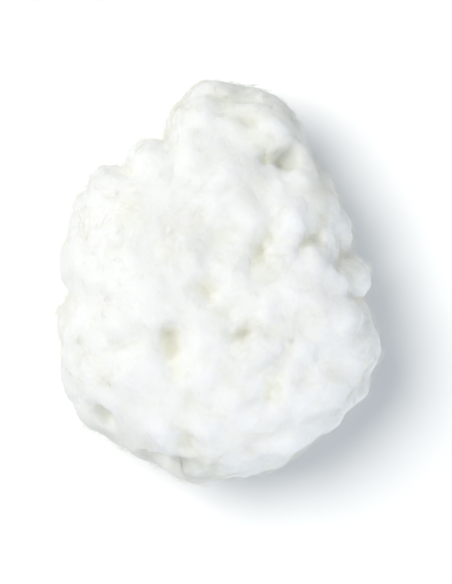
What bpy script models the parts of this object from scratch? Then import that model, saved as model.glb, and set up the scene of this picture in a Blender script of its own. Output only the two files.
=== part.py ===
"""A tuft of polyester wadding, a handful of loose white fibre fill as pulled from a bag.

The tuft is one piece. It lies on a table, pressed flat where it rests, with +Z up and +Y along
its length. Its form is a soft egg-shaped core whose fibres have balled into rounded clumps, with
creases where clumps meet and deeper hollows where they have been pulled apart.
All lengths are in millimetres, all angles in degrees, and bearings run anticlockwise from +X.
"""

import math

import bmesh
import bpy
from mathutils import Vector, noise

METRES = 0.001  # to one millimetre

# The core, which is the tuft without its clumps
CORE_LENGTH = 110
CORE_WIDTH = 87
EQUATOR_HEIGHT = 33
CROWN_RISE = 22
BELLY_DROP = 34
SIDE_FULLNESS = 0.7
LEFTWARD_RISE = 0.07  # how much the top gains in height with each millimetre to the left
CROWNWARD_FALL = 0.16  # how much it loses with each millimetre towards the crown end

# How far the edge of the core, seen from above, stands out from a plain oval or falls short of it
EDGE_STEPS = (   # bearing, stand out
    (0, -4.5),
    (11, -8.5),  # long slope down the right
    (30, -8.0),
    (50, -8.0),  # right shoulder
    (61, -7.6),
    (71, -0.4),  # crown end
    (81, -0.8),
    (92, 0.5),
    (101, -2.2),
    (112, -11.0),  # notch between the crown end and the left shoulder
    (122, -6.6),
    (130, -8.6),
    (140, -0.8),  # left shoulder
    (155, 0.2),
    (171, 1.6),  # left flank
    (188, -0.8),
    (200, 4.4),
    (212, 6.4),
    (225, 7.0),  # lower left corner
    (237, 3.6),
    (250, 1.8),
    (260, 2.6),
    (270, 0.6),  # foot end
    (290, 0.5),
    (301, 0.3),
    (313, 2.8),
    (325, 3.4),  # right lobe
    (336, 3.4),
    (344, -0.8),
    (352, -6.2),  # step above the right lobe
)
EDGE_STAND_OUT_FADE = 3  # how soon this fades inwards: 1 would carry it evenly to the middle
HALVINGS = 14  # of the way to a place on the core, enough to find it within a hundredth

# Clumps that show on top: x and y on the core, radius, and how far the clump stands out
TOP_CLUMPS = (
    (-7, 46, 12, 2.4),  # crown end, left
    (7, 46, 11, 2.4),  # crown end, right
    (16, 43, 8, 2.6),  # ridge between the crown's crease and the edge
    (22, 37, 8, 2.6),  # ridge, further down
    (24, 28, 9, 2.4),  # right shoulder
    (-8, 37, 12, 2.4),  # below the crown
    (-15, 35, 11, 2.4),  # upper left corner
    (-20, 26, 14, 2.8),  # upper left
    (-33, 27, 11, 2.2),  # left shoulder
    (3, 28, 11, 2.4),  # above the middle
    (-2, 20, 9, 2.0),  # above the middle, left
    (7, 17, 9, 2.4),  # above the middle, right
    (20, 19, 13, 2.6),  # broad, under the right shoulder's hollow
    (33, 17, 9, 2.0),  # strip along the right edge
    (-28, 12, 15, 2.6),  # broad bright clump on the left
    (-25, -1, 18, 3.0),  # broad bright clump, lower half
    (-10, 8, 11, 2.2),  # left of the middle
    (3, 4, 8, 2.0),  # middle
    (17, 6, 9, 2.6),  # right of the middle
    (27, 3, 10, 2.2),  # right flank
    (22, -2, 9, 2.6),  # slanting arm, upper end
    (15, -10, 9, 2.8),  # slanting arm, middle
    (11, -20, 10, 3.0),  # slanting arm, lower end
    (-4, -18, 11, 3.2),  # right of the slot
    (-6, -27, 10, 2.8),  # right of the slot's tail
    (-26, -12, 14, 2.6),  # left of the slot
    (-23, -25, 14, 3.0),  # lower left
    (-37, -27, 10, 2.0),  # lower left corner
    (-17, -40, 11, 2.8),  # foot end, left
    (-4, -41, 9, 2.4),  # foot end, middle
    (4, -34, 10, 2.4),  # above the foot end
    (10, -42, 9, 2.4),  # foot end, right
    (16, -47, 8, 2.0),  # foot end, right edge
    (20, -30, 9, 3.0),  # bright lower right clump
    (24, -35, 9, 2.8),  # bright lower right clump, lower half
    (29, -27, 8, 2.4),  # outside it
    (25, -19, 9, 2.4),  # above it
    (29, -11, 9, 2.4),  # right, halfway out
    (35, -13, 9, 2.2),  # right flank, lower
    (38, -22, 11, 2.8),  # right lobe
    (32, -33, 10, 2.4),  # right lobe, lower edge
)

# Clumps round the flanks and the belly, in rings: elevation from the equator, and the bearing of
# the ring's first clump
SIDE_RINGS = ((-12, 4), (-40, 15), (-66, 33))
SIDE_CLUMP_SPACING = 16
SIDE_CLUMP_RADIUS = 15
SIDE_CLUMP_STAND_OUT = 2.8

# How far the clumps' round outlines are pulled out of shape, and over what length
CLUMP_PULL = 3.5
CLUMP_PULL_LENGTH = 12
CLUMP_PULL_SEED = 4

# The same for the hollows, whose mouths stay where they are
HOLLOW_PULL = 1.8
HOLLOW_PULL_LENGTH = 6

# Smaller clumps all over, in sizes that halve from one layer to the next. The right half is the
# more broken one.
SMALL_CLUMP_SIZE = 13
SMALL_CLUMP_SWELL = 2.6
SMALL_CLUMP_LAYERS = 2
RIGHT_SIDE_SHARE = 0.35  # how much more the small clumps swell at the right edge, less at the left

# Hollows pulled open between the clumps: x and y on the core at either end, half the width of
# the mouth, and the depth
HOLLOWS = (
    (-15, -17, -14, -21, 5.4, 5.4),  # slot left of the middle
    (-14, -21, -12, -28, 4.2, 4.0),  # tail of the slot
    (-4, -2, -1, -2, 5.2, 4.6),  # pit in the middle
    (-1, -3, 2, -7, 4.0, 2.8),  # tail of the pit
    (7, -15, 7, -16, 3.4, 3.6),  # small pit
    (15, 36, 19, 35, 5.6, 6.5),  # hollow under the right shoulder
    (18, 34, 19, 29, 4.0, 2.5),  # its lower end
    (2, 49, 13, 39, 4.6, 2.8),  # crease that runs up from it
    (14, 10, 11, 5, 4.8, 3.4),  # right of the middle
    (16, 10, 28, 12, 3.8, 2.6),  # crease to the right flank
    (-3, 11, -3, 3, 3.4, 1.6),  # slit above the pit
    (2, 19, 3, 11, 3.4, 1.6),  # slit above the middle
    (-4, 34, -3, 32, 6.0, 1.4),  # dimple below the crown
    (-25, 23, -24, 22, 4.6, 1.6),  # dimple in the upper left
    (-31, -19, -24, -17, 4.0, 1.2),  # faint crease in the lower left
    (-35, -38, -33, -40, 5.0, 5.0),  # lower left corner
    (14, -30, 14, -34, 3.6, 3.0),  # slit in the lower right
    (-10, -46, -9, -50, 4.4, 3.6),  # notch in the foot end
    (-22, -50, -8, -53, 4.2, 3.4),  # undercut along the foot end
    (-3, 54, 18, 49, 4.0, 2.4),  # groove along the crown end
    (34, 4, 34, 3, 4.2, 2.0),  # dimple in the right flank
)

SKIN_CELLS = 31  # squares of skin along each side of the cube that the core is blown up from

FIBRE_COLOUR = (0.90, 0.90, 0.86, 1.0)
FIBRE_ROUGHNESS = 0.95


def clear_scene():
    for leftover in list(bpy.data.objects):
        bpy.data.objects.remove(leftover)


def hill(distance, half_width):
    """1 at no distance, falling smoothly to 0 at half_width."""
    if distance >= half_width:
        return 0.0
    return 0.5 * (1 + math.cos(math.pi * distance / half_width))


def edge_stand_out(bearing):
    """How far the core's edge stands out from the oval, going smoothly from step to step."""
    steps = (*EDGE_STEPS, (EDGE_STEPS[0][0] + 360, EDGE_STEPS[0][1]))
    for (bearing_before, before), (bearing_after, after) in zip(steps, steps[1:]):
        if bearing_before <= bearing <= bearing_after:
            gap = bearing_after - bearing_before
            return after + (before - after) * hill(bearing - bearing_before, gap)
    raise ValueError(f"no edge at bearing {bearing}")


def core_reach(bearing, share):
    """How far out the core's surface is at a share of the way from its middle to its edge."""
    turn = math.radians(bearing)
    oval = 1 / math.hypot(math.cos(turn) / (CORE_WIDTH / 2), math.sin(turn) / (CORE_LENGTH / 2))
    return oval * share + edge_stand_out(bearing % 360) * share ** EDGE_STAND_OUT_FADE


def core_point(bearing, elevation):
    """The point of the core's surface at this bearing and this elevation from the equator."""
    turn, lift = math.radians(bearing), math.radians(elevation)
    reach = core_reach(bearing, max(0.0, math.cos(lift)) ** SIDE_FULLNESS)
    x, y = reach * math.cos(turn), reach * math.sin(turn)
    slope = LEFTWARD_RISE * x + CROWNWARD_FALL * max(0.0, y)
    rise = CROWN_RISE - slope if elevation > 0 else BELLY_DROP
    return Vector((x, y, EQUATOR_HEIGHT + rise * math.sin(lift)))


def top_point(x, y):
    """The point of the core's upper surface over x and y, found by halving the way to it."""
    bearing = math.degrees(math.atan2(y, x))
    inside, outside = 0.0, 1.0
    for _ in range(HALVINGS):
        share = (inside + outside) / 2
        if core_reach(bearing, share) < math.hypot(x, y):
            inside = share
        else:
            outside = share
    return core_point(bearing, math.degrees(math.acos(inside ** (1 / SIDE_FULLNESS))))


def blown_up_core(bm):
    """A cube with a fine net of squares on its faces, blown up into the core."""
    bmesh.ops.create_cube(bm, size=2)
    bmesh.ops.subdivide_edges(bm, edges=bm.edges[:], cuts=SKIN_CELLS - 1, use_grid_fill=True)
    for vert in bm.verts:
        # The tangent keeps the squares about the same size all over the ball.
        ball = Vector([math.tan(side * math.pi / 4) for side in vert.co]).normalized()
        bearing = math.degrees(math.atan2(ball.y, ball.x))
        vert.co = core_point(bearing, math.degrees(math.asin(max(-1.0, min(1.0, ball.z)))))
    bmesh.ops.recalc_face_normals(bm, faces=bm.faces[:])
    bm.normal_update()


def side_ring(elevation, first):
    """The places of one ring's clumps on the core, about SIDE_CLUMP_SPACING apart."""
    reach = (CORE_LENGTH + CORE_WIDTH) / 4 * math.cos(math.radians(elevation)) ** SIDE_FULLNESS
    count = max(3, round(math.tau * reach / SIDE_CLUMP_SPACING))
    return [core_point(first + number * 360 / count, elevation) for number in range(count)]


def clump_seats():
    """Every clump as its middle on the core, its radius, and how far it stands out."""
    seats = [(top_point(x, y), radius, stand_out) for x, y, radius, stand_out in TOP_CLUMPS]
    for elevation, first in SIDE_RINGS:
        for place in side_ring(elevation, first):
            seats.append((place, SIDE_CLUMP_RADIUS, SIDE_CLUMP_STAND_OUT))
    return seats


def hollow_runs():
    """Every hollow as the two ends of its run on the core, half its width and its depth."""
    return [
        (top_point(start_x, start_y), top_point(end_x, end_y), half_width, depth)
        for start_x, start_y, end_x, end_y, half_width, depth in HOLLOWS
    ]


def distance_to_run(point, start, end):
    """How far a point is from the straight run between two others."""
    run = end - start
    along = (point - start).dot(run) / run.length_squared
    return (point - start - run * max(0.0, min(1.0, along))).length


def clump_height(place, seats):
    """How far the clumps stand out at a place of the core. Where two meet, the higher one wins,
    which leaves a crease between them."""
    return max(stand_out * hill((place - seat).length, radius) for seat, radius, stand_out in seats)


def small_clump_height(place):
    """How far the small clumps stand out, billowy with creases between."""
    rightward = max(-1.0, min(1.0, place.x / (CORE_WIDTH / 2)))
    swell = SMALL_CLUMP_SWELL * (1 + RIGHT_SIDE_SHARE * rightward)
    return swell * noise.turbulence(
        place / SMALL_CLUMP_SIZE, SMALL_CLUMP_LAYERS, True, noise_basis="BLENDER"
    )


def hollow_depth(place, runs):
    return max(
        depth * hill(distance_to_run(place, start, end), half_width)
        for start, end, half_width, depth in runs
    )


def fluff_up(bm):
    """Pushes the skin out over the clumps and in over the hollows, straight out of the core, so
    that it never folds over itself."""
    seats = clump_seats()
    runs = hollow_runs()
    for vert in bm.verts:
        place = vert.co.copy()
        pulled = place + noise.noise_vector(place / CLUMP_PULL_LENGTH) * CLUMP_PULL
        height = clump_height(pulled, seats) + small_clump_height(pulled)
        tugged = place + noise.noise_vector(place / HOLLOW_PULL_LENGTH) * HOLLOW_PULL
        vert.co += vert.normal * (height - hollow_depth(tugged, runs))


def rest_on_table(bm):
    """Presses flat what would reach below the table, and puts the origin at the middle of the
    underside of the tuft's box."""
    for vert in bm.verts:
        vert.co.z = max(0.0, vert.co.z)
    low = Vector([min(vert.co[axis] for vert in bm.verts) for axis in range(3)])
    high = Vector([max(vert.co[axis] for vert in bm.verts) for axis in range(3)])
    middle = (low + high) / 2
    bmesh.ops.translate(bm, verts=bm.verts[:], vec=(-middle.x, -middle.y, 0))
    bmesh.ops.scale(bm, verts=bm.verts[:], vec=(METRES, METRES, METRES))


def fibre_material():
    material = bpy.data.materials.new("polyester_fibre")
    material.use_nodes = True
    shader = material.node_tree.nodes["Principled BSDF"]
    shader.inputs["Base Color"].default_value = FIBRE_COLOUR
    shader.inputs["Roughness"].default_value = FIBRE_ROUGHNESS
    shader.inputs["Metallic"].default_value = 0.0
    return material


def wadding_tuft(collection):
    bm = bmesh.new()
    blown_up_core(bm)
    fluff_up(bm)
    rest_on_table(bm)
    mesh = bpy.data.meshes.new("wadding_tuft")
    bm.to_mesh(mesh)
    bm.free()
    mesh.shade_smooth()
    mesh.materials.append(fibre_material())
    tuft = bpy.data.objects.new("wadding_tuft", mesh)
    collection.objects.link(tuft)


def main():
    clear_scene()
    noise.seed_set(CLUMP_PULL_SEED)
    collection = bpy.data.collections.new("polyester_wadding")
    bpy.context.scene.collection.children.link(collection)
    wadding_tuft(collection)


main()
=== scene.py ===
# %% [markdown]
# # A tuft of polyester wadding
#
# Wadding is crimped polyester staple, fibres a few hundredths of a millimetre thick and a few
# centimetres long, tangled into a soft white mass with air in between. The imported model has
# its form: the clumps, the creases and the hollows. This file dresses that form with the two
# things that make it look soft, a fleece of matted fibre and single fibres that stand out of it.

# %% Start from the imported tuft
import math
import random

import bmesh
import bpy
import numpy as np
from mathutils import Matrix, Vector, kdtree, noise
from mathutils.bvhtree import BVHTree


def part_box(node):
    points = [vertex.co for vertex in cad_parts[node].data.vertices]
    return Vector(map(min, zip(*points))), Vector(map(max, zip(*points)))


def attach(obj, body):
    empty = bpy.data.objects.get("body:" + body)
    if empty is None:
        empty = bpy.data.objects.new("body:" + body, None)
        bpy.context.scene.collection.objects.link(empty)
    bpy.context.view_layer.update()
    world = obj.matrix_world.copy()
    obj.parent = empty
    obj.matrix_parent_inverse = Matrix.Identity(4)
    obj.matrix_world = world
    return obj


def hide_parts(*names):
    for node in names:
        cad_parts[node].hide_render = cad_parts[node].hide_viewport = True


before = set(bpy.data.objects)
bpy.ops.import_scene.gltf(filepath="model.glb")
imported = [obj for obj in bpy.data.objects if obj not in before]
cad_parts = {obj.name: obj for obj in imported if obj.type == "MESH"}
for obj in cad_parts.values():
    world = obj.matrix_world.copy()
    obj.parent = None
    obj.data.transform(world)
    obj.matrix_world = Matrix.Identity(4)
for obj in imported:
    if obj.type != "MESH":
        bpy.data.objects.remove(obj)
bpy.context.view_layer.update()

MM = 0.001
rng = random.Random(20)
noise.seed_set(20)
TUFT_LOW, TUFT_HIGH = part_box("wadding_tuft")
TUFT_SIZE = TUFT_HIGH - TUFT_LOW
print("tuft", [round(side / MM, 1) for side in TUFT_SIZE], "mm")

# %% [markdown]
# ## Colours and nodes
#
# Colours are picked as they look on a screen, in sRGB, while shaders count light in linear
# values, so one function turns each hex colour into a linear one. A second one adds a node,
# sets its inputs and links it, which keeps each material to one line a node.


# %% Two small helpers for materials
def linear(hex_colour):
    """An sRGB colour such as F4F4F0 as linear red, green, blue and alpha."""
    parts = [int(hex_colour[start:start + 2], 16) / 255 for start in (0, 2, 4)]
    return (*[p / 12.92 if p <= 0.04045 else ((p + 0.055) / 1.055) ** 2.4 for p in parts], 1.0)


def add_node(material, kind, links=(), settings=(), **values):
    """Adds a node. links has pairs of input and source socket, settings sets its properties, and
    values sets inputs by name."""
    node = material.node_tree.nodes.new(kind)
    for name, value in dict(settings).items():
        setattr(node, name, value)
    for name, value in values.items():
        node.inputs[name.replace("_", " ")].default_value = value
    for name, source in links:
        material.node_tree.links.new(source, node.inputs[name])
    return node


def new_material(name):
    material = bpy.data.materials.new(name)
    material.use_nodes = True
    material.node_tree.nodes.clear()
    return material


# %% [markdown]
# ## Camera
#
# The tuft is seen from straight above through a long lens, so that its sides hardly show. The
# camera hangs a little to the right of the tuft's middle and a little towards its foot, which
# leaves room in the frame for the shadow. How far it hangs, and how long the lens is, follow from
# where the tuft's edges are in the frame and from its length.

# %% Camera above the tuft
IMAGE_WIDTH, IMAGE_HEIGHT = 452, 584
TUFT_TOP_PX, TUFT_BOTTOM_PX = 79, 485
TUFT_LEFT_PX, TUFT_RIGHT_PX = 54, 382
TUFT_LENGTH = 120 * MM
pixel = TUFT_LENGTH / (TUFT_BOTTOM_PX - TUFT_TOP_PX)
camera_x = (IMAGE_WIDTH / 2 - (TUFT_LEFT_PX + TUFT_RIGHT_PX) / 2) * pixel
camera_y = -(IMAGE_HEIGHT / 2 - (TUFT_TOP_PX + TUFT_BOTTOM_PX) / 2) * pixel
SCALE_HEIGHT = 23 * MM  # the height over the table at which a pixel has that length
CAMERA_HEIGHT = 0.9
SENSOR_WIDTH = 36

camera_data = bpy.data.cameras.new("camera")
camera = bpy.data.objects.new("camera", camera_data)
bpy.context.collection.objects.link(camera)
camera.location = (camera_x, camera_y, SCALE_HEIGHT + CAMERA_HEIGHT)
camera_data.sensor_fit = "AUTO"
camera_data.sensor_width = SENSOR_WIDTH
camera_data.lens = SENSOR_WIDTH * CAMERA_HEIGHT / (IMAGE_HEIGHT * pixel)
bpy.context.scene.camera = camera
print("one pixel", round(pixel / MM, 3), "mm, lens", round(camera_data.lens), "mm")

# %% [markdown]
# ## Light
#
# A broad soft lamp high on the left throws the shadow to the right. A cool surround fills it, and
# a weak lamp low on the right, like a white card, lights the tuft's far flank, so that no side of
# the tuft is dark and the shadow is a pale blue-grey. Both lamps stand well away, so their light is
# nearly as strong on one side of the tuft as on the other. Light bounces many times between white
# fibres, so more bounces are counted than usual.

# %% Surround and bounces
SURROUND_COLOUR = "E4F0FF"
SURROUND_STRENGTH = 0.38
LIGHT_BOUNCES = 24

bpy.context.scene.view_settings.view_transform = "Standard"
bpy.context.scene.cycles.max_bounces = LIGHT_BOUNCES
bpy.context.scene.cycles.diffuse_bounces = LIGHT_BOUNCES
world = bpy.data.worlds.new("surround")
world.use_nodes = True
bpy.context.scene.world = world
background = world.node_tree.nodes["Background"]
background.inputs["Color"].default_value = linear(SURROUND_COLOUR)
background.inputs["Strength"].default_value = SURROUND_STRENGTH
print("surround", SURROUND_COLOUR, "at", SURROUND_STRENGTH)

# %% Two soft lamps
LAMP_DISTANCE = 2.0


def soft_lamp(name, bearing, elevation, power, size, colour):
    """A round lamp at this bearing and elevation, in degrees, which looks at the tuft."""
    data = bpy.data.lights.new(name, "AREA")
    data.shape = "DISK"
    data.size = size
    data.energy = power
    data.color = linear(colour)[:3]
    lamp = bpy.data.objects.new(name, data)
    bpy.context.collection.objects.link(lamp)
    turn, lift = math.radians(bearing), math.radians(elevation)
    towards = Vector((
        math.cos(turn) * math.cos(lift), math.sin(turn) * math.cos(lift), math.sin(lift)
    ))
    lamp.location = towards * LAMP_DISTANCE
    lamp.rotation_euler = towards.to_track_quat("Z", "Y").to_euler()
    print(name, "at", [round(side, 2) for side in lamp.location], "m")


soft_lamp("key_lamp", bearing=153, elevation=63, power=31, size=1.15, colour="FFFCF4")
soft_lamp("white_card", bearing=-45, elevation=14, power=15, size=1.3, colour="F4F9FF")

# %% [markdown]
# ## Table
#
# The table is a board painted matt white, so nothing is mirrored in it. To the camera it is pure
# white where the light reaches it, as in a studio picture, and it keeps the tuft's shadow. To the
# tuft it is an ordinary pale board, which throws a little light up under the tuft's edge.

# %% White table that keeps the shadow
TABLE_WIDTH = 6.0
TABLE_GAP = 0.05 * MM
BOARD_AS_SEEN = "FFFFFF"
BOARD_FOR_THE_TUFT = "EEEEEE"

table = new_material("painted_board")
rays = add_node(table, "ShaderNodeLightPath")
seen_or_mirrored = add_node(
    table, "ShaderNodeMath", settings={"operation": "MAXIMUM"},
    links=[(0, rays.outputs["Is Camera Ray"]), (1, rays.outputs["Is Glossy Ray"])],
)
seen = add_node(
    table, "ShaderNodeMath", settings={"operation": "MAXIMUM"},
    links=[(0, seen_or_mirrored.outputs[0]), (1, rays.outputs["Is Transmission Ray"])],
)
board = add_node(table, "ShaderNodeMix", settings={"data_type": "RGBA"},
                 links=[(0, seen.outputs[0])])
board.inputs["A"].default_value = linear(BOARD_FOR_THE_TUFT)
board.inputs["B"].default_value = linear(BOARD_AS_SEEN)
board_shader = add_node(table, "ShaderNodeBsdfDiffuse", links=[("Color", board.outputs[2])])
add_node(table, "ShaderNodeOutputMaterial", links=[("Surface", board_shader.outputs[0])])

bm = bmesh.new()
bmesh.ops.create_grid(bm, x_segments=1, y_segments=1, size=TABLE_WIDTH / 2)
bmesh.ops.translate(bm, verts=bm.verts, vec=(0, 0, TUFT_LOW.z - TABLE_GAP))
table_mesh = bpy.data.meshes.new("table")
bm.to_mesh(table_mesh)
bm.free()
table_mesh.materials.append(table)
table_object = bpy.data.objects.new("table", table_mesh)
bpy.context.collection.objects.link(table_object)
print("table", TABLE_WIDTH, "m wide")

# %% [markdown]
# ## Fleece
#
# Under its loose fibres the tuft is a dense fleece: the fibres mat together and hide each other,
# and light soaks in and comes out soft. It could be made of fibres all through, but millions
# would be needed. A closed surface that lets light in does the same, as long as it has the
# fleece's own relief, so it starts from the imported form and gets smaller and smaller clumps.

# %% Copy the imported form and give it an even, fine net
FLEECE_NET = 0.64 * MM
SAME_PLACE = 0.001 * MM

bm = bmesh.new()
bm.from_mesh(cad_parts["wadding_tuft"].data)
bmesh.ops.remove_doubles(bm, verts=bm.verts, dist=SAME_PLACE)
fleece_mesh = bpy.data.meshes.new("fleece")
bm.to_mesh(fleece_mesh)
bm.free()
fleece = bpy.data.objects.new("fleece", fleece_mesh)
bpy.context.collection.objects.link(fleece)

remesh = fleece.modifiers.new("even net", "REMESH")
remesh.mode = "VOXEL"
remesh.voxel_size = FLEECE_NET


def apply_modifiers(piece):
    """Makes the piece's mesh what its modifiers show."""
    shown = piece.evaluated_get(bpy.context.evaluated_depsgraph_get())
    made = bpy.data.meshes.new_from_object(shown)
    piece.modifiers.clear()
    piece.data = made


apply_modifiers(fleece)
print("fleece", len(fleece.data.polygons), "faces")


# %% Read and write all points of a mesh at once
def points_of(mesh):
    flat = np.empty(len(mesh.vertices) * 3)
    mesh.vertices.foreach_get("co", flat)
    return flat.reshape(-1, 3)


def normals_of(mesh):
    flat = np.empty(len(mesh.vertices) * 3)
    mesh.vertex_normals.foreach_get("vector", flat)
    return flat.reshape(-1, 3)


def set_points(mesh, points):
    mesh.vertices.foreach_set("co", points.ravel())
    mesh.update()


def edges_of(mesh):
    flat = np.empty(len(mesh.edges) * 2, dtype=int)
    mesh.edges.foreach_get("vertices", flat)
    return flat.reshape(-1, 2)


# %% Average each value with its neighbours, which softens what the voxels left
def softened(values, edges, rounds):
    """Each value moved to the mean of its neighbours and itself, so many times over."""
    count = np.bincount(edges.ravel(), minlength=len(values)).reshape(-1, 1) + 1
    values = values.reshape(len(count), -1)
    for _ in range(rounds):
        total = values.copy()
        for column in range(values.shape[1]):
            total[:, column] += np.bincount(edges[:, 0], values[edges[:, 1], column], len(count))
            total[:, column] += np.bincount(edges[:, 1], values[edges[:, 0], column], len(count))
        values = total / count
    return values


VOXEL_ROUNDS = 3
edges = edges_of(fleece.data)
set_points(fleece.data, softened(points_of(fleece.data), edges, VOXEL_ROUNDS))
print("softened over", len(edges), "edges")

# %% [markdown]
# Each layer of relief pushes the surface out. Billows, the size of noise with its sign dropped, and
# puffs, the cells round scattered points, are round on top and creased between, as balled fibres
# are. Every layer is pulled sideways by a wider one, so that none looks like a pattern. The tuft's
# right half is the more broken one, so its puffs stand out further.

# %% Relief of the matted fibres
BILLOW_WIDTH = 7.0 * MM
BILLOW_SWELL = 0.55 * MM
BILLOW_OCTAVES = 2
PUFFS = (  # how wide a puff is and how far it stands out
    (5.0 * MM, 0.75 * MM),
    (2.4 * MM, 0.28 * MM),
)
RIGHT_SIDE_SHARE = 0.5  # how much more the puffs stand out at the right edge, less at the left
PULL_WIDTH = 7.5 * MM
PULL = 4.5 * MM
TUG_WIDTH = 2.2 * MM
TUG = 0.8 * MM
FLAT_UNDER = 1.2 * MM  # below this height the relief fades out, so the tuft rests flat


def puff(place):
    """1 in the middle of a puff, falling round to the crease where it meets the next one."""
    distances, _ = noise.voronoi(place)
    return math.sqrt(max(0.0, 1 - distances[0] ** 2))


def relief(place):
    """How far the fibres stand out at a place, in metres."""
    pulled = place + noise.noise_vector(place / PULL_WIDTH) * PULL
    height = BILLOW_SWELL * noise.turbulence(
        pulled / BILLOW_WIDTH, BILLOW_OCTAVES, True, noise_basis="BLENDER"
    )
    tugged = pulled + noise.noise_vector(place / TUG_WIDTH) * TUG
    rightward = place.x / (TUFT_SIZE.x / 2)
    for width, stand_out in PUFFS:
        height += stand_out * (1 + RIGHT_SIDE_SHARE * rightward) * puff(tugged / width)
    return height


places = points_of(fleece.data)
normals = normals_of(fleece.data)
heights = np.array([relief(Vector(place)) for place in places])
heights -= heights.mean()
lift_clear = np.clip((places[:, 2] - TUFT_LOW.z) / FLAT_UNDER, 0, 1)
places = places + normals * (heights * lift_clear)[:, None]
places[:, 2] = np.maximum(places[:, 2], TUFT_LOW.z)
set_points(fleece.data, places)
fleece.data.shade_smooth()
print("relief from", round(heights.min() / MM, 2), "to", round(heights.max() / MM, 2), "mm")

# %% [markdown]
# Deep in a hollow the light has bounced from fibre to fibre many times, and polyester takes a little
# blue out at each bounce, so hollows look faintly yellow and darker. The material paints that in:
# painted shade, darker and yellower the deeper a point lies in a hollow. It needs to know how deep
# each point lies: that is how far it is below a much softened copy of the same surface.

# %% How deep in a hollow each point lies
HOLLOW_ROUNDS = 215
HOLLOW_EDGE_ROUNDS = 3
HOLLOW_START = 0.5 * MM  # a point less deep than this is in no hollow
HOLLOW_DEPTH = 3.4 * MM  # a point this deep or deeper is wholly in one


def store_share(mesh, name, values):
    """Keeps a value for each point on the mesh, for its material to read."""
    layer = mesh.attributes.new(name, "FLOAT", "POINT")
    layer.data.foreach_set("value", values.astype(np.float32))


normals = normals_of(fleece.data)
softer = softened(places, edges, HOLLOW_ROUNDS)
depth = ((softer - places) * normals).sum(axis=1)
depth = (depth - HOLLOW_START) / (HOLLOW_DEPTH - HOLLOW_START)
hollow = softened(np.clip(depth, 0, 1), edges, HOLLOW_EDGE_ROUNDS)[:, 0]
store_share(fleece.data, "hollow", hollow)
print("hollow share", round(float((hollow > 0.5).mean()), 3))

# %% [markdown]
# Where the fleece is loose and airy the eye looks in between the fibres, into the shade among them,
# so the material paints these patches greyer: partly the looser fleece, partly painted shade. That
# is so at the thin crown end, which slopes away from the lamp, under the right shoulder, in the
# lower left corner and along the foot, whose underside is in shade, and where fibres have been
# pulled apart in a crease or a pit, where shade falls. Each patch is a soft round spot with an
# uneven edge.

# %% How airy the fleece is at each point, and how much shade is painted there
# Patches of looser fleece and of painted shade, greyed in the material.
AIRY_AND_SHADE_PATCHES = (  # x and y of the middle and radius, all in mm, and share
    (8, 56, 13, 0.6),  # crown end
    (20, 49, 12, 0.55),  # crown end, right
    (8, 46, 5, 0.5),  # crease under the crown
    (12, 41, 5, 0.4),
    (28, 36, 7, 0.5),  # edge of the right shoulder
    (18, 36, 6, 1.0),  # hollow under the right shoulder
    (30, 27, 12, 0.25),  # right shoulder
    (31, 21, 4, 0.4),
    (26, 12, 4, 0.7),  # crease to the right flank
    (12, 8, 5, 0.5),
    (38, 4, 5, 0.5),  # right flank
    (-25, 20, 6, 0.2),  # left shoulder
    (-1, -7, 4, 0.4),  # tail of the middle pit
    (7.5, -16, 3, 0.7),  # small pit
    (17, -31, 5, 0.4),  # slit in the lower right
    (-34, -39, 5, 1.0),  # lower left corner
    (-36, -43, 9, 0.6),
    (-10, -48, 4, 0.6),  # notch in the foot
    (-22, -52, 9, 0.9),  # foot end
    (-8, -55, 9, 0.9),
)
AIRY_AND_SHADE_UNEVEN = 3.0 * MM
AIRY_AND_SHADE_UNEVEN_WIDTH = 5.0 * MM
AIRY_AND_SHADE_EDGE_ROUNDS = 4
ABOVE = 200 * MM

fleece_points = [Vector(place) for place in places]
fleece_faces = [tuple(face.vertices) for face in fleece.data.polygons]
surface = BVHTree.FromPolygons(fleece_points, fleece_faces)


def seat(x, y):
    """The point of the fleece straight under the camera at x and y, or the nearest to it."""
    hit = surface.ray_cast(Vector((x, y, ABOVE)), Vector((0, 0, -1)))[0]
    return hit or surface.find_nearest(Vector((x, y, TUFT_SIZE.z / 2)))[0]


airy_and_shade = np.zeros(len(places))
shifts = np.array([noise.noise_vector(place / AIRY_AND_SHADE_UNEVEN_WIDTH) for place in fleece_points])
uneven = places + shifts * AIRY_AND_SHADE_UNEVEN
for x, y, radius, share in AIRY_AND_SHADE_PATCHES:
    away = np.linalg.norm(uneven - np.array(seat(x * MM, y * MM)), axis=1) / (radius * MM)
    airy_and_shade = np.maximum(airy_and_shade, share * np.clip(1 - away ** 2, 0, 1))
airy_and_shade = softened(airy_and_shade, edges, AIRY_AND_SHADE_EDGE_ROUNDS)[:, 0]
store_share(fleece.data, "airy_and_shade", airy_and_shade)
print("airy share", round(float((airy_and_shade > 0.3).mean()), 3))

# %% [markdown]
# ## Fibre finish
#
# Polyester is clear and slightly glossy, with an IOR of 1.57, and looks white because light
# scatters between so many fibres. On the fleece, where they are matted, that gives the eye a soft
# white with no highlight: a rough surface, light that soaks in some millimetres deep, a little
# sheen at the edge, and a bump of curled filaments. Real ones are 0.03 mm thick and would not
# show, so the bump draws strands 1.5 mm apart, which do.

# %% White of the fibres, with painted shade: greyer in airy and shaded patches, darker and warmer in the hollows
FIBRE_WHITE = "FDFCF5"
# painted shade and looser fleece: a greyer white
AIRY_AND_SHADE_GREY = "D8DAD4"
# painted shade in the hollows: darker and yellower
HOLLOW_PAINTED_SHADE = "EBEAE1"
POLYESTER_IOR = 1.57


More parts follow.
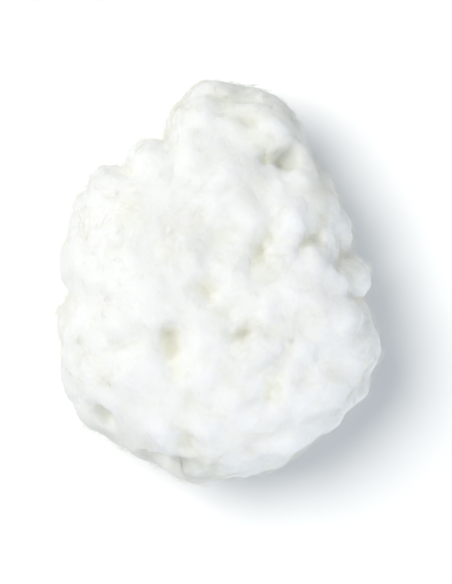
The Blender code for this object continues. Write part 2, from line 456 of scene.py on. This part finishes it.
def fibre_colour_with_painted_shade(material):
    """A socket with the fibres' white, with painted shade from the airy and the hollow values."""
    colour = None
    for name, white in (("airy_and_shade", AIRY_AND_SHADE_GREY), ("hollow", HOLLOW_PAINTED_SHADE)):
        share = add_node(material, "ShaderNodeAttribute", settings={"attribute_name": name})
        mix = add_node(material, "ShaderNodeMix", settings={"data_type": "RGBA"},
                       links=[(0, share.outputs["Fac"])])
        mix.inputs["A"].default_value = linear(FIBRE_WHITE)
        mix.inputs["B"].default_value = linear(white)
        if colour:
            material.node_tree.links.new(colour, mix.inputs["A"])
        colour = mix.outputs[2]
    return colour


# %% Bump of curled filaments
FILAMENT_SPACING = 1.5 * MM
FILAMENT_STRETCH = 3.5
FILAMENT_TURNS = ((20, 0, 15), (75, 40, 100), (-50, 65, 55))  # degrees about x, y and z
FILAMENT_CURL = 4 * MM


def filament_height(material):
    """A socket with the height of three crossing layers of thin curled lines."""
    place = add_node(material, "ShaderNodeTexCoord").outputs["Object"]
    curl = add_node(material, "ShaderNodeTexNoise", links=[("Vector", place)],
                    Scale=1 / FILAMENT_CURL, Detail=1.0)
    curled = add_node(material, "ShaderNodeVectorMath", settings={"operation": "MULTIPLY_ADD"},
                      links=[(0, curl.outputs["Color"]), (2, place)])
    curled.inputs[1].default_value = (FILAMENT_CURL,) * 3
    height = None
    for turn in FILAMENT_TURNS:
        turned = add_node(material, "ShaderNodeMapping", links=[("Vector", curled.outputs[0])],
                          Rotation=[math.radians(angle) for angle in turn],
                          Scale=(1, 1, 1 / FILAMENT_STRETCH))
        lines = add_node(material, "ShaderNodeTexNoise", links=[("Vector", turned.outputs[0])],
                         Scale=1 / FILAMENT_SPACING, Detail=2.0, Roughness=0.6)
        thin = add_node(material, "ShaderNodeMath", settings={"operation": "PINGPONG"},
                        links=[(0, lines.outputs["Fac"])])
        thin.inputs[1].default_value = 0.5
        if height is None:
            height = thin.outputs[0]
        else:
            height = add_node(material, "ShaderNodeMath", settings={"operation": "MAXIMUM"},
                              links=[(0, height), (1, thin.outputs[0])]).outputs[0]
    return height


# %% Fleece material
LIGHT_SOAKS_IN = 12 * MM
FILAMENT_RISE = 1.6 * MM

fleece_finish = new_material("matted_polyester_staple")
bump = add_node(fleece_finish, "ShaderNodeBump", links=[("Height", filament_height(fleece_finish))],
                Strength=0.5, Distance=FILAMENT_RISE)
fleece_shader = add_node(
    fleece_finish, "ShaderNodeBsdfPrincipled",
    links=[("Base Color", fibre_colour_with_painted_shade(fleece_finish)), ("Normal", bump.outputs[0])],
    Roughness=0.9, IOR=POLYESTER_IOR, Specular_IOR_Level=0.2,
    Subsurface_Weight=1.0, Subsurface_Radius=(1.0, 1.0, 0.9), Subsurface_Scale=LIGHT_SOAKS_IN,
    Sheen_Weight=0.15, Sheen_Roughness=0.6,
)
add_node(fleece_finish, "ShaderNodeOutputMaterial", links=[("Surface", fleece_shader.outputs[0])])
fleece.data.materials.clear()
fleece.data.materials.append(fleece_finish)
print(fleece_finish.name, len(fleece_finish.node_tree.nodes), "nodes")

# %% [markdown]
# ## Loose fibres
#
# Staple is crimped into small waves so that it tangles. A hair system could grow it, but hair
# stands up from a skin, while these fibres lie along the fleece, dive in and come out again. So
# each one is a walk: it starts anywhere on the fleece, goes a step at a time in a direction that
# slowly turns, rises and falls over the surface and waves from side to side. Each is a curve with
# a three-sided section, which is enough for something this thin.

# %% One fibre's walk
LEAST_LENGTH = 1e-6
WAVE_STEP = (1.6, 2.6)  # how far the crimp's wave goes in one step, in radians
TURN_UNEVEN = (0.4, 1.6)


def across(direction, normal):
    """The direction with what points along the normal taken out."""
    flat = direction - normal * direction.dot(normal)
    return flat.normalized() if flat.length > LEAST_LENGTH else normal.orthogonal().normalized()


def walk(start, heading, kind, length, height, arch, turn):
    """The points of a fibre over the fleece. height is how far it lies above the surface, arch how
    much further it rises, and turn how far its heading turns along it. The kind's fall is 1 for a
    loop, which comes down again, and less for a tip that stands free."""
    step = length / kind["steps"]
    place = start
    points = []
    phase = rng.uniform(0, math.tau)
    for number in range(kind["steps"] + 1):
        ground, normal, _, _ = surface.find_nearest(place)
        heading = across(heading, normal)
        side = normal.cross(heading)
        share = number / kind["steps"]
        rise = height + arch * math.sin(math.pi * share * kind["fall"])
        rise += kind["crimp"] / 2 * rng.uniform(-1, 1)
        sway = kind["crimp"] * math.sin(phase + number * rng.uniform(*WAVE_STEP))
        points.append(ground + normal * rise + side * sway)
        bend = turn * rng.uniform(*TURN_UNEVEN) / kind["steps"]
        heading = Matrix.Rotation(bend, 3, normal) @ heading
        place = ground + heading * step
    return points


# %% Section and thickness of a fibre
SECTION_SIDES = 3
TIP_SHARE = 0.45  # how thick a tip is, against the middle of the fibre

section_data = bpy.data.curves.new("fibre_section", "CURVE")
section_spline = section_data.splines.new("POLY")
section_spline.points.add(SECTION_SIDES - 1)
for corner, point in enumerate(section_spline.points):
    angle = math.tau * corner / SECTION_SIDES
    point.co = (math.cos(angle), math.sin(angle), 0, 1)
section_spline.use_cyclic_u = True
fibre_section = bpy.data.objects.new("fibre_section", section_data)


def add_fibre(curve, points, thickness):
    """Adds a fibre through these points to the curve, thinner towards both tips."""
    spline = curve.splines.new("POLY")
    spline.points.add(len(points) - 1)
    spline.points.foreach_set("co", [c for point in points for c in (*point, 1.0)])
    last = len(points) - 1
    radii = [thickness / 2 * (TIP_SHARE + (1 - TIP_SHARE) * math.sin(math.pi * n / last) ** 0.5)
             for n in range(last + 1)]
    spline.points.foreach_set("radius", radii)


# %% Locks of fibres, made into one piece
LOCK_SHARE = 1.0
DRIFT_WIDTH = 14 * MM
LOWEST_START = 2 * MM
HEADING_SPREAD = 0.9
LENGTH_UNEVEN = (0.7, 1.2)
HEIGHT_UNEVEN = (0.5, 1.3)
LOCK_TURN_UNEVEN = (0.7, 1.3)
THICKNESS_UNEVEN = (0.7, 1.2)
loose_starts = [n for n, place in enumerate(fleece_points) if place.z > TUFT_LOW.z + LOWEST_START]
print(len(loose_starts), "places where a lock can start")


def fibre_piece(name, locks, kind):
    """A piece of many locks. Each lock is a few fibres that start together and go about the same
    way, which drifts slowly from place to place over the tuft."""
    curve = bpy.data.curves.new(name, "CURVE")
    curve.dimensions = "3D"
    curve.bevel_mode = "OBJECT"
    curve.bevel_object = fibre_section
    curve.use_fill_caps = True
    for _ in range(round(locks * LOCK_SHARE)):
        start = rng.choice(loose_starts)
        middle, normal = fleece_points[start], Vector(normals[start])
        drift = noise.noise_vector(middle / DRIFT_WIDTH)
        heading = Matrix.Rotation(rng.gauss(0, HEADING_SPREAD), 3, normal) @ across(drift, normal)
        lock_turn = rng.uniform(*kind["turn"]) * rng.choice((-1, 1))
        lock_length = rng.uniform(*kind["length"])
        lock_height = rng.uniform(*kind["height"])
        for _ in range(kind["fibres"]):
            scatter = Vector([rng.gauss(0, kind["width"]) for _ in range(3)])
            own_heading = Matrix.Rotation(rng.gauss(0, kind["splay"]), 3, normal) @ heading
            points = walk(
                middle + scatter, own_heading, kind, lock_length * rng.uniform(*LENGTH_UNEVEN),
                lock_height * rng.uniform(*HEIGHT_UNEVEN), rng.uniform(*kind["arch"]),
                lock_turn * rng.uniform(*LOCK_TURN_UNEVEN),
            )
            add_fibre(curve, points, kind["thickness"] * rng.uniform(*THICKNESS_UNEVEN))
    piece = bpy.data.objects.new(name + "_curves", curve)
    bpy.context.collection.objects.link(piece)
    return made_mesh(piece, name)


# %% Curves to a closed mesh
SAME_POINT = 0.0005 * MM


def made_mesh(curves, name):
    """The curves as one mesh with closed ends, no part of which is under the table."""
    shown = curves.evaluated_get(bpy.context.evaluated_depsgraph_get())
    mesh = bpy.data.meshes.new_from_object(shown)
    bpy.data.objects.remove(curves)
    bm = bmesh.new()
    bm.from_mesh(mesh)
    bmesh.ops.remove_doubles(bm, verts=bm.verts, dist=SAME_POINT)
    for vert in bm.verts:
        vert.co.z = max(vert.co.z, TUFT_LOW.z)
    bm.to_mesh(mesh)
    bm.free()
    mesh.shade_smooth()
    mesh.materials.clear()
    piece = bpy.data.objects.new(name, mesh)
    bpy.context.collection.objects.link(piece)
    triangles = sum(len(face.vertices) - 2 for face in mesh.polygons)
    print(name, triangles, "triangles")
    return piece


# %% [markdown]
# Four pieces of fibre lie over each other. One is matted fibre close to the fleece. Two are of small
# tufts, whose fibres start together and rise and splay like a pinch of wadding, so that the edge is
# ragged. One is of single strays with free tips, which make the edge soft. Real staple is 0.03 mm
# thick, too fine to show or to model by the million, so these are about twice as thick. In the
# values below, splay and turn are in radians.

# %% Matted fibre, small tufts and strays
MATTED = {
    "fibres": 14, "steps": 6, "width": 0.8 * MM, "splay": 0.25, "thickness": 0.06 * MM,
    "length": (7 * MM, 14 * MM), "height": (0.03 * MM, 0.25 * MM), "arch": (0, 0.3 * MM),
    "fall": 1.0, "crimp": 0.25 * MM, "turn": (0.3, 2.4),
}
TUFTS = {
    "fibres": 6, "steps": 4, "width": 0.35 * MM, "splay": 0.8, "thickness": 0.07 * MM,
    "length": (1.8 * MM, 4.5 * MM), "height": (0, 0.2 * MM), "arch": (0.3 * MM, 1.4 * MM),
    "fall": 0.6, "crimp": 0.2 * MM, "turn": (0.5, 3.0),
}
STRAYS = {
    "fibres": 2, "steps": 7, "width": 1.5 * MM, "splay": 1.2, "thickness": 0.05 * MM,
    "length": (4 * MM, 10 * MM), "height": (0.1 * MM, 0.4 * MM), "arch": (0.5 * MM, 2.0 * MM),
    "fall": 0.6, "crimp": 0.4 * MM, "turn": (1.0, 4.5),
}
fibre_pieces = [
    fibre_piece("matted_fibres", 160, MATTED),
    fibre_piece("small_tufts_a", 750, TUFTS),
    fibre_piece("small_tufts_b", 750, TUFTS),
    fibre_piece("stray_fibres", 450, STRAYS),
]

# %% Fibres take the painted shade of the fleece under them, its hollow and airy values
nearest = kdtree.KDTree(len(fleece_points))
for index, place in enumerate(fleece_points):
    nearest.insert(place, index)
nearest.balance()
for piece in fibre_pieces:
    under = [nearest.find(vert.co)[1] for vert in piece.data.vertices]
    store_share(piece.data, "hollow", hollow[under])
    store_share(piece.data, "airy_and_shade", airy_and_shade[under])
    print(piece.name, "mean hollow", round(float(hollow[under].mean()), 2))

# %% [markdown]
# A single fibre is smoother than the mat, so it gives the eye a faint gleam along its length. It has
# the white of the fleece that it lies on, with the same painted shade, and no light under the skin,
# because it is so thin.

# %% Fibre material
fibre_finish = new_material("crimped_polyester_staple")
fibre_shader = add_node(
    fibre_finish, "ShaderNodeBsdfPrincipled",
    links=[("Base Color", fibre_colour_with_painted_shade(fibre_finish))],
    Roughness=0.55, IOR=POLYESTER_IOR, Specular_IOR_Level=0.2,
)
add_node(fibre_finish, "ShaderNodeOutputMaterial", links=[("Surface", fibre_shader.outputs[0])])
for piece in fibre_pieces:
    piece.data.materials.append(fibre_finish)
print(fibre_finish.name, "on", len(fibre_pieces), "pieces")

# %% [markdown]
# ## Fix the pieces to the imported tuft
#
# The fleece stands for the imported solid, which is then hidden, and every piece goes with the one
# body of the part. Loose fill gives way under a fingertip.

# %% Ride and replace
for piece in [fleece, *fibre_pieces]:
    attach(piece, "root")
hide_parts("wadding_tuft")
print("ride on root:", ", ".join(piece.name for piece in [fleece, *fibre_pieces]))
